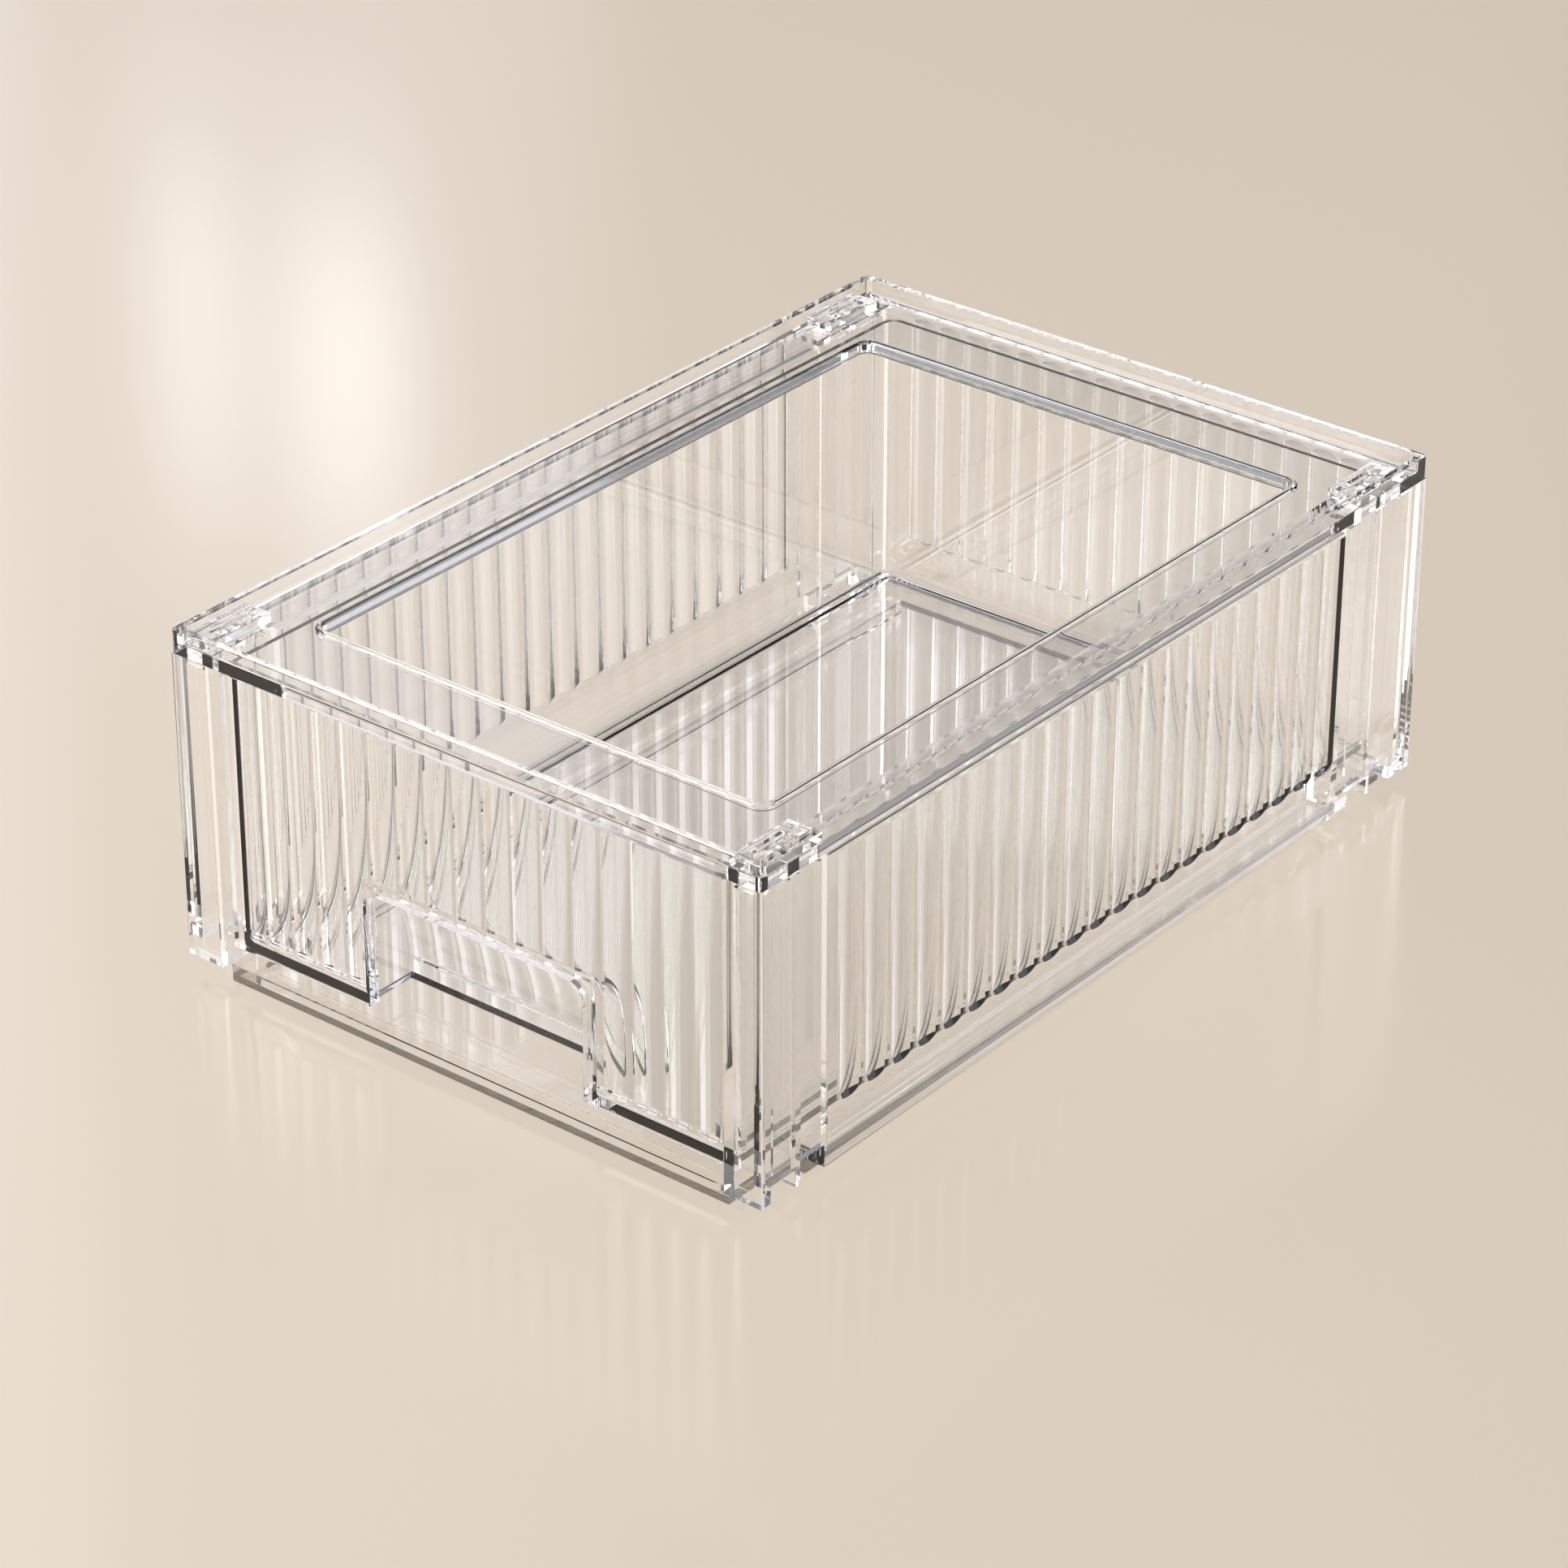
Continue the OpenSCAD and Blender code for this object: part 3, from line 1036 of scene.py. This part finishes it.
@dataclass
class BackPanel:
    """Fluted back wall between the two side walls."""

    levels: Levels
    side_band: float = 5.0
    head_band: float = 2.0
    edge: float = 0.35
    flutes: FluteRow = field(init=False)

    def __post_init__(self) -> None:
        """Lays the flutes out across the wall."""
        self.flutes = FluteRow(
            width=2 * (self.levels.post_inner - self.side_band),
            pitch=8.35,
            foot=self.levels.flute_foot(),
            head=self.levels.side_top - self.head_band,
            square_head=False,
        )

    def build(self, material: bpy.types.Material) -> None:
        """Makes the panel.

        Args:
            material: What it is made of.
        """
        levels = self.levels
        seam = levels.seam
        half = levels.half_w - levels.wall - seam
        panel = block(
            "back_panel_blank",
            (-half, levels.back_inner, levels.side_foot + seam),
            (half, levels.half_d, levels.side_top - seam),
        )
        round_edges(panel, self.edge)
        turn = Matrix.Rotation(math.pi, 4, "Z")
        to_wall = Matrix.Translation(Vector((0, levels.half_d, 0)) * MM) @ turn
        combine(panel, [self.flutes.cutters("back_flutes", material, to_wall)], Cut.CARVE)
        shade(panel, plane=(Axis.Y, levels.half_d))
        dress(panel, "back_panel", "case", material)


@dataclass
class TopPanel:
    """Top plate with the stacking rim, and a window framed by a bead above and a low lip below."""

    levels: Levels
    rim_width: float = 2.2
    corner: float = 1.2
    window_inset_x: float = 20.0
    window_inset_y: float = 26.0
    window_radius: float = 4.0
    bead: float = 1.0
    bead_steps: int = 10
    lip_drop: float = 0.5
    lip_width: float = 1.8
    lip_bevel: float = 0.4
    rim_fillet: float = 0.6
    edge: float = 0.35

    def rings(self) -> list[Ring]:
        """Lays out the panel's section, from the rim's foot round to the plate's underside.

        Returns:
            The section's corners as rings, in order.
        """
        levels = self.levels
        window_x = levels.half_w - self.window_inset_x
        window_y = levels.half_d - self.window_inset_y
        underside = levels.side_top

        def at_edge(inset: float, z: float, radius: float) -> Ring:
            """A ring that follows the panel's outer edge."""
            return Ring(levels.half_w - inset, levels.half_d - inset, radius, z)

        def at_window(outset: float, z: float) -> Ring:
            """A ring that follows the window, outside its bead line by outset."""
            return Ring(window_x + outset, window_y + outset, self.window_radius + outset, z)

        fillet, inside = self.rim_fillet, self.corner + self.rim_fillet / 2
        outside = [
            at_edge(0, underside, self.corner),
            at_edge(0, levels.rim_top, self.corner),
            at_edge(self.rim_width, levels.rim_top, inside),
            at_edge(self.rim_width, levels.plate_top + fillet, inside),
            at_edge(self.rim_width + 0.3 * fillet, levels.plate_top + 0.3 * fillet, inside + fillet / 6),
            at_edge(self.rim_width + fillet, levels.plate_top, inside + fillet / 2),
        ]
        # The bead's round section is sunk into the plate by a third of its radius.
        sunk = 1 / 3
        centre_z = levels.plate_top - self.bead * sunk
        start = math.asin(sunk)
        end = math.pi - 0.2
        beading = []
        for i in range(self.bead_steps + 1):
            angle = start + (end - start) * i / self.bead_steps
            beading.append(at_window(self.bead * math.cos(angle), centre_z + self.bead * math.sin(angle)))
        inner = beading[-1].half_x - window_x
        lip_z = underside - self.lip_drop
        lip = [
            at_window(inner, lip_z),
            at_window(inner + self.lip_width - self.lip_bevel, lip_z),
            at_window(inner + self.lip_width, underside),
        ]
        return outside + beading + lip

    def build(self, clip: CornerClip, material: bpy.types.Material) -> None:
        """Makes the panel.

        Args:
            clip: The clips whose legs go through the plate.
            material: What it is made of.
        """
        panel = ring_moulding("top_panel_blank", self.rings(), closed=True)
        holes = clip.leg_holes(1, clip.clearance) + clip.leg_holes(-1, clip.clearance)
        combine(panel, holes, Cut.CARVE)
        round_edges(panel, self.edge)
        shade(panel)
        dress(panel, "top_panel", "case", material)


@dataclass
class Drawer:
    """One-piece drawer: fluted front, finger pocket behind an arched notch, and a tray.

    The pocket's section is upright up to its knee and vaulted above it, and its lower part steps back
    by the ledge. The pocket's cutter starts clear_front ahead of the front's back face, and its skin
    stays clear_back away from the tray's back.
    """

    levels: Levels
    front: float = 3.0
    front_radius: float = 3.0
    wall: float = 1.3
    floor: float = 1.2
    step: float = 0.7
    drop: float = 1.2
    corner: float = 4.0
    fillet: float = 2.5
    notch_half: float = 32.75
    notch_height: float = 30.5
    notch_radius: float = 3.5
    notch_border: float = 1.6
    tray_bite: float = 0.1
    outer_foot: float = 1.2
    pocket: float = 16.0
    pocket_step: float = 1.2
    pocket_below: float = 4.0
    knee: float = 6.0
    knee_step: float = 0.4
    vault_steps: int = 32
    ledge: float = 0.5
    clear_front: float = 8.0
    clear_back: float = 5.0
    edge: float = 0.4
    flute_side: float = 1.0
    flute_rise: float = 4.5
    flute_drop: float = 2.0
    flutes: FluteRow = field(init=False)

    def __post_init__(self) -> None:
        """Lays the flutes out across the drawer front."""
        low, high = self.levels.drawer_low, self.levels.drawer_high
        self.flutes = FluteRow(
            width=2 * (high[0] - self.flute_side),
            pitch=8.7,
            foot=low[2] + self.flute_rise,
            head=high[2] - self.flute_drop,
        )

    def tray(self) -> bpy.types.Object:
        """Makes the tray: walls with a plain top edge, and a floor with a filleted edge.

        Returns:
            The tray without its finger pocket.
        """
        low, high = self.levels.drawer_low, self.levels.drawer_high
        front_y = low[1] + self.front - self.wall + self.tray_bite
        half_x, half_y = high[0] - self.step, (high[1] - front_y) / 2
        middle = (high[1] + front_y) / 2
        top = high[2] - self.drop

        def at(inset: float, z: float, radius: float) -> Ring:
            """A ring inside the tray's outline by inset."""
            return Ring(half_x - inset, half_y - inset, radius, z, middle)

        inner_corner, tightest = self.corner - 1, 0.6
        rings = []
        foot_steps, fillet_steps = 3, 8
        for i in range(foot_steps + 1):
            angle = i / foot_steps * math.pi / 2
            inset = self.outer_foot * (1 - math.sin(angle))
            rings.append(at(inset, low[2] + self.outer_foot * (1 - math.cos(angle)), self.corner - inset))
        rings += [at(0, top, self.corner), at(self.wall, top, inner_corner)]
        floor_z = low[2] + self.floor
        for i in range(fillet_steps + 1):
            angle = i / fillet_steps * math.pi / 2
            inwards = self.fillet * (1 - math.cos(angle))
            z = floor_z + self.fillet * (1 - math.sin(angle))
            rings.append(at(self.wall + inwards, z, max(inner_corner - inwards, tightest)))
        return ring_moulding("tray_blank", rings, closed=False)

    def pocket_profile(self, grow: float, front_y: float) -> list[Point2]:
        """Section of the finger pocket along Y and Z.

        Args:
            grow: Thickness added all round, for the pocket's skin.
            front_y: Where the section starts.

        Returns:
            The outline: upright back wall, then a vault that falls from the notch's head to the wall.
        """
        low = self.levels.drawer_low
        base_y, base_z = low[1] + self.front, low[2]
        depth, rise = self.pocket - self.front, self.notch_height + self.pocket_step - self.knee
        setback = (rise**2 - depth**2) / (2 * depth)
        radius = depth + setback
        foot_y = base_y + depth + grow - (0 if grow else self.ledge)
        below = base_z - self.pocket_below
        outline = [(front_y, below), (foot_y, below), (foot_y, base_z + self.knee - self.knee_step)]
        end_angle = math.acos(setback / radius)
        for i in range(self.vault_steps + 1):
            angle = end_angle * i / self.vault_steps
            y = base_y - setback + (radius + grow) * math.cos(angle)
            outline.append((y, base_z + self.knee + (radius + grow) * math.sin(angle)))
        outline.append((front_y, outline[-1][1]))
        return outline

    def build(self, material: bpy.types.Material) -> None:
        """Makes the drawer.

        Args:
            material: What it is made of.
        """
        low, high = self.levels.drawer_low, self.levels.drawer_high
        back = low[1] + self.front
        below = low[2] - OVERSHOOT
        plate = gate(high[0], low[2], high[2], self.front_radius)
        drawer = prism("drawer_front_blank", plate, Axis.Y, low[1], back)
        notch_top = low[2] + self.notch_height
        notch = gate(self.notch_half, below, notch_top, self.notch_radius)
        opening = prism("pull_notch", notch, Axis.Y, low[1] - OVERSHOOT, back + OVERSHOOT)
        combine(drawer, [opening], Cut.CARVE)

        pocket_half, round_steps = self.notch_half + self.pocket_step, 5
        skin = self.pocket_profile(self.wall, back - OVERSHOOT)
        hood = prism("hood_skin", skin, Axis.X, -pocket_half - self.wall, pocket_half + self.wall)
        round_edges(hood, self.notch_radius + self.wall, round_steps)
        hood_low = (-high[0], back - OVERLAP, low[2] + OVERLAP)
        hood_high = (high[0], high[1] - self.clear_back, high[2])
        combine(hood, [block("hood_limits", hood_low, hood_high)], Cut.KEEP_COMMON)
        hollow = self.pocket_profile(0, back - self.clear_front)
        pocket = prism("finger_pocket", hollow, Axis.X, -pocket_half, pocket_half)
        round_edges(pocket, self.notch_radius, round_steps)

        tray = combine(self.tray(), [hood], Cut.JOIN)
        combine(tray, [pocket], Cut.CARVE)
        combine(drawer, [tray], Cut.JOIN)
        round_edges(drawer, self.edge)

        to_front = Matrix.Translation(Vector((0, low[1], 0)) * MM)
        cutters = self.flutes.cutters("front_flutes", material, to_front)
        plain = self.notch_border
        border = gate(self.notch_half + plain, below, notch_top + plain, self.notch_radius + plain)
        combine(cutters, [prism("notch_border", border, Axis.Y, low[1] - 2 * OVERSHOOT, back)], Cut.CARVE)
        combine(drawer, [cutters], Cut.CARVE)
        shade(drawer, plane=(Axis.Y, low[1]))
        dress(drawer, "drawer", "drawer", material)


# ---------------------------------------------------------------- studio


@dataclass(frozen=True)
class Softbox:
    """A rectangular lamp that looks at the box, placed by the direction that it is seen in."""

    name: str
    azimuth_deg: float
    elevation_deg: float
    size: Point2
    radiance: float
    colour: str = "#fdfdff"
    distance: float = 3.0

    def build(self) -> None:
        """Puts the lamp up."""
        lamp = bpy.data.lights.new(self.name, "AREA")
        lamp.shape = "RECTANGLE"
        lamp.size, lamp.size_y = self.size
        lamp.energy = self.radiance * math.pi * self.size[0] * self.size[1]
        lamp.color = linear(self.colour)[:3]
        holder = bpy.data.objects.new(self.name, lamp)
        azimuth, elevation = math.radians(self.azimuth_deg), math.radians(self.elevation_deg)
        across = math.cos(elevation)
        towards = Vector((across * math.cos(azimuth), across * math.sin(azimuth), math.sin(elevation)))
        holder.location = towards * self.distance
        holder.rotation_euler = towards.to_track_quat("Z", "Y").to_euler()
        holder.visible_camera = False
        bpy.context.scene.collection.objects.link(holder)


@dataclass(frozen=True)
class Window:
    """A bright soft-edged field in the room around the box, in degrees."""

    azimuth: float
    width: float
    low: float
    high: float
    radiance: float
    edge: float = 3.0

    def shine(self, tree: bpy.types.NodeTree, light: Feed, azimuth: Feed, elevation: Feed) -> Feed:
        """Adds the window's light to what the room gives in each direction.

        Args:
            tree: The world's node tree.
            light: The room's light so far.
            azimuth: Azimuth of the direction, in degrees.
            elevation: Elevation of the direction, in degrees.

        Returns:
            The room's light with the window.
        """
        turned = place(tree, "ShaderNodeMath", {0: azimuth, 1: self.azimuth}, operation="SUBTRACT")
        wrapped = place(tree, "ShaderNodeMath", {0: turned, 1: 180.0, 2: -180.0}, operation="WRAP")
        aside = place(tree, "ShaderNodeMath", {0: wrapped}, operation="ABSOLUTE")
        sides = []
        # A side rises from 0 to 1 over its edge, and falls where the edge is negative.
        for value, at, edge in (
            (aside, self.width / 2, -self.edge),
            (elevation, self.low, self.edge),
            (elevation, self.high, -self.edge),
        ):
            limits = {"Value": value, "From Min": at - edge / 2, "From Max": at + edge / 2}
            sides.append(place(tree, "ShaderNodeMapRange", limits, interpolation_type="SMOOTHSTEP"))
        across, foot, head = sides
        upright = place(tree, "ShaderNodeMath", {0: foot, 1: head}, operation="MULTIPLY")
        pane = place(tree, "ShaderNodeMath", {0: across, 1: upright}, operation="MULTIPLY")
        inputs = {0: pane, 1: self.radiance, 2: light}
        return place(tree, "ShaderNodeMath", inputs, operation="MULTIPLY_ADD")


@dataclass
class Studio:
    """The counter, the lamps, the room's glow and windows, and the camera.

    What surfaces mirror of the glow and the first windows stays below mirror_limit, so that the counter
    keeps its colour when it is seen from low down. The mirrored windows are seen in full, two of them
    as narrow streaks on the counter's left.
    """

    counter_size: float = 14.0
    counter_thickness: float = 20.0
    eye: Point3 = (0.6927, -0.8752, 0.6483)
    azimuth_deg: float = 38.79
    elevation_deg: float = 29.19
    roll_deg: float = 0.07
    focal_px: float = 6457.0
    image_px: float = 1932.0
    sensor_mm: float = 36.0
    room: str = "#f6f8ff"
    backdrop: str = "#e6ddd1"
    glow: float = 0.13
    mirror_limit: float = 1.7
    windows: tuple[Window, ...] = (
        Window(181.5, 37.0, 0.0, 18.0, 0.9),
        Window(175.0, 50.0, 40.0, 62.0, 1.7),
        Window(267.5, 45.0, 0.0, 32.0, 1.05),
        Window(312.5, 45.0, 0.0, 32.0, 3.7),
        Window(357.5, 45.0, 0.0, 32.0, 1.5),
        Window(30.0, 20.0, 0.0, 32.0, 0.6),
        Window(50.0, 22.0, 0.0, 32.0, 3.6),
        Window(222.5, 45.0, 32.0, 62.0, 0.6),
        Window(290.0, 90.0, 32.0, 62.0, 0.9),
        Window(357.5, 45.0, 32.0, 62.0, 0.4),
        Window(0.0, 370.0, 62.0, 100.0, 0.4),
    )
    mirrored_windows: tuple[Window, ...] = (
        Window(125.5, 11.0, 18.0, 40.0, 0.1, 1.0),
        Window(134.5, 7.0, 18.0, 40.0, 0.6, 1.0),
        Window(141.5, 7.0, 18.0, 40.0, 1.6, 1.0),
        Window(156.5, 8.0, 18.0, 40.0, 2.4, 1.0),
        Window(169.5, 8.0, 18.0, 40.0, 2.4, 1.0),
        Window(182.0, 8.0, 18.0, 40.0, 3.2, 1.0),
        Window(194.0, 9.0, 18.0, 40.0, 3.2, 1.0),
        Window(135.8, 0.8, 22.5, 26.0, 3.6, 0.15),
        Window(134.0, 1.3, 23.2, 26.4, 4.2, 0.15),
    )
    lamps: tuple[Softbox, ...] = (
        Softbox("left_softbox", 209.0, 16.5, (0.8, 1.65), 6.7),
        Softbox("front_left_softbox", 233.5, 16.5, (1.2, 1.65), 3.6),
    )

    def build(self) -> None:
        """Sets the studio up."""
        self.lay_counter()
        self.light_room()
        for lamp in self.lamps:
            lamp.build()
        self.set_camera()
        scene = bpy.context.scene
        scene.view_settings.view_transform = "Standard"
        scene.cycles.max_bounces = 24
        scene.cycles.transmission_bounces = 24
        scene.cycles.glossy_bounces = 16
        scene.cycles.transparent_max_bounces = 32

    def lay_counter(self) -> None:
        """Lays the pale counter that the box stands on."""
        half = self.counter_size / MM / 2
        counter = block("counter", (-half, -half, -self.counter_thickness), (half, half, 0))
        counter.data.materials.append(PaleCounter().build())
        counter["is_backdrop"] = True

    def light_room(self) -> None:
        """Gives the room a dim glow and its soft windows. The camera itself sees a plain backdrop."""
        world = bpy.data.worlds.new("room")
        bpy.context.scene.world = world
        world.use_nodes = True
        tree = world.node_tree
        tree.nodes.clear()

        direction = place(tree, "ShaderNodeTexCoord").outputs["Generated"]
        x, y, z = place(tree, "ShaderNodeSeparateXYZ", {0: direction}).outputs
        turn = place(tree, "ShaderNodeMath", {0: y, 1: x}, operation="ARCTAN2")
        azimuth = place(tree, "ShaderNodeMath", {0: turn}, operation="DEGREES")
        tilt = place(tree, "ShaderNodeMath", {0: z}, operation="ARCSINE")
        elevation = place(tree, "ShaderNodeMath", {0: tilt}, operation="DEGREES")

        light: Feed = self.glow
        for window in self.windows:
            light = window.shine(tree, light, azimuth, elevation)
        rays = place(tree, "ShaderNodeLightPath").outputs
        capped = place(tree, "ShaderNodeMath", {0: light, 1: self.mirror_limit}, operation="MINIMUM")
        dimming = place(tree, "ShaderNodeMath", {0: capped, 1: light}, operation="SUBTRACT")
        inputs = {0: rays["Is Glossy Ray"], 1: dimming, 2: light}
        light = place(tree, "ShaderNodeMath", inputs, operation="MULTIPLY_ADD")
        for window in self.mirrored_windows:
            light = window.shine(tree, light, azimuth, elevation)
        room = place(tree, "ShaderNodeBackground", {"Color": linear(self.room), "Strength": light})
        backdrop = place(tree, "ShaderNodeBackground", {"Color": linear(self.backdrop)})
        both = place(tree, "ShaderNodeMixShader", {0: rays["Is Camera Ray"], 1: room, 2: backdrop})
        place(tree, "ShaderNodeOutputWorld", {"Surface": both})

    def set_camera(self) -> None:
        """Sets the camera up at the standing viewer's eye."""
        lens = bpy.data.cameras.new("viewer")
        lens.sensor_width = self.sensor_mm
        lens.lens = self.focal_px / self.image_px * self.sensor_mm
        camera = bpy.data.objects.new("viewer", lens)
        bpy.context.scene.collection.objects.link(camera)
        turn = (
            Matrix.Rotation(math.radians(self.azimuth_deg), 4, "Z")
            @ Matrix.Rotation(math.radians(90 - self.elevation_deg), 4, "X")
            @ Matrix.Rotation(math.radians(self.roll_deg), 4, "Z")
        )
        camera.matrix_world = Matrix.Translation(self.eye) @ turn
        bpy.context.scene.camera = camera


def main(cad: tuple[Vector, Vector]) -> None:
    """Builds the box and its studio.

    Args:
        cad: Lowest and highest corner of the CAD model. Not used.
    """
    logging.basicConfig(level=logging.INFO, format="%(name)s %(message)s")
    levels = Levels.read()
    panel = ClearStyrene("clear_styrene_panel").build()
    drawer = ClearStyrene("clear_styrene_drawer", ripple_mm=18.0).build()
    clips = ClearStyrene("clear_styrene_clip", ripple_mm=6.0, roughness_high=0.05).build()

    clip = CornerClip(levels)
    BasePanel(levels).build(clip, panel)
    side_panel = SidePanel(levels)
    side_panel.build(1, clip, panel)
    side_panel.build(-1, clip, panel)
    BackPanel(levels).build(panel)
    TopPanel(levels).build(clip, panel)
    for front_or_back, back in (("front", False), ("back", True)):
        clip.build(f"clip_{front_or_back}_left", -1, back, clips)
        clip.build(f"clip_{front_or_back}_right", 1, back, clips)
    Drawer(levels).build(drawer)

    Studio().build()


if __name__ == "__main__":
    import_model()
    main(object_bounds())
